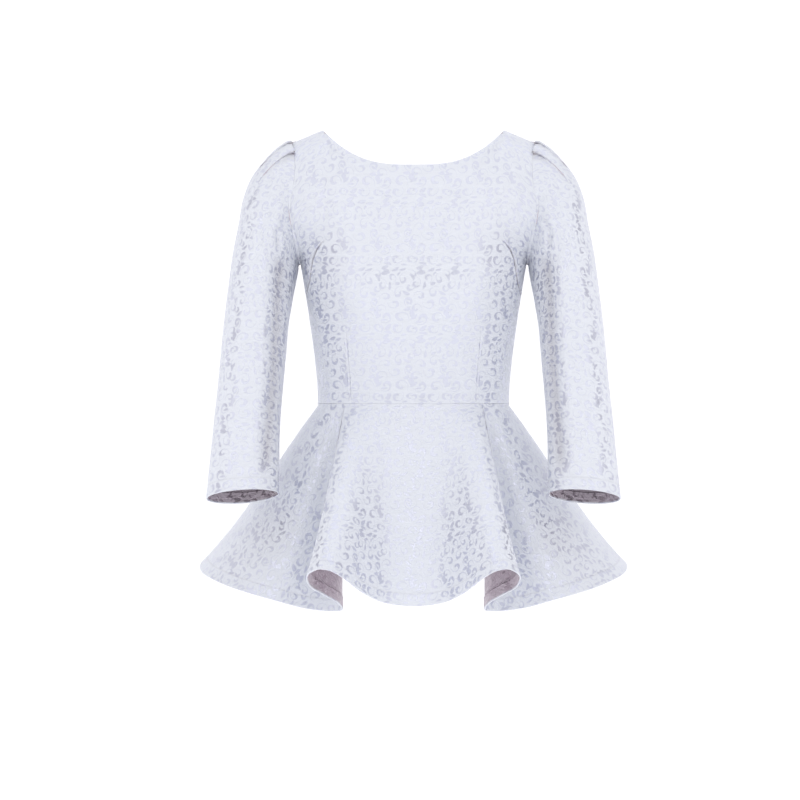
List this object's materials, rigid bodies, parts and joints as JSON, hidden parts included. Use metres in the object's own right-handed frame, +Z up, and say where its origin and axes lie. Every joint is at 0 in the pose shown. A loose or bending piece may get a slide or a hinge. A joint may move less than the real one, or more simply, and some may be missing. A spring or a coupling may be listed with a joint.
{
  "type": "peplum top",
  "caption": "Fitted figured-weave top with a boat neck, long sleeves pleated at the head and a flared hip frill, open at the neck, cuffs and hem, with a closed zip at the back.",
  "frame": {"origin": "midway between the two neck points of the shoulders, 7.5 mm below them, where the wearer's shoulders hold the garment", "axes": "+X to the wearer's left, -Y out of the front, +Z up"},
  "size_m": [0.637, 0.5404, 0.7027],
  "materials": {
    "jacquard": "ivory figured weave with a satin motif on a matt ground",
    "zip_tape": "matt woven tape",
    "zip_metal": "satin enamel"
  },
  "bodies": {
    "garment": {"front_bodice": "jacquard", "back_bodice_left": "jacquard", "back_bodice_right": "jacquard", "sleeve_left": "jacquard", "sleeve_right": "jacquard", "peplum_front": "jacquard", "peplum_back_left": "jacquard", "peplum_back_right": "jacquard", "zip_tape": "zip_tape", "zip_slider": "zip_metal"},
    "pull": {"zip_pull": "zip_metal"}
  },
  "joints": [
    {"name": "pull_swing", "type": "hinge", "parent": "garment", "child": "pull", "pos_m": [0, 0.09657, -0.08663], "axis": [1, 0, 0], "range_deg": [0, 160]}
  ]
}
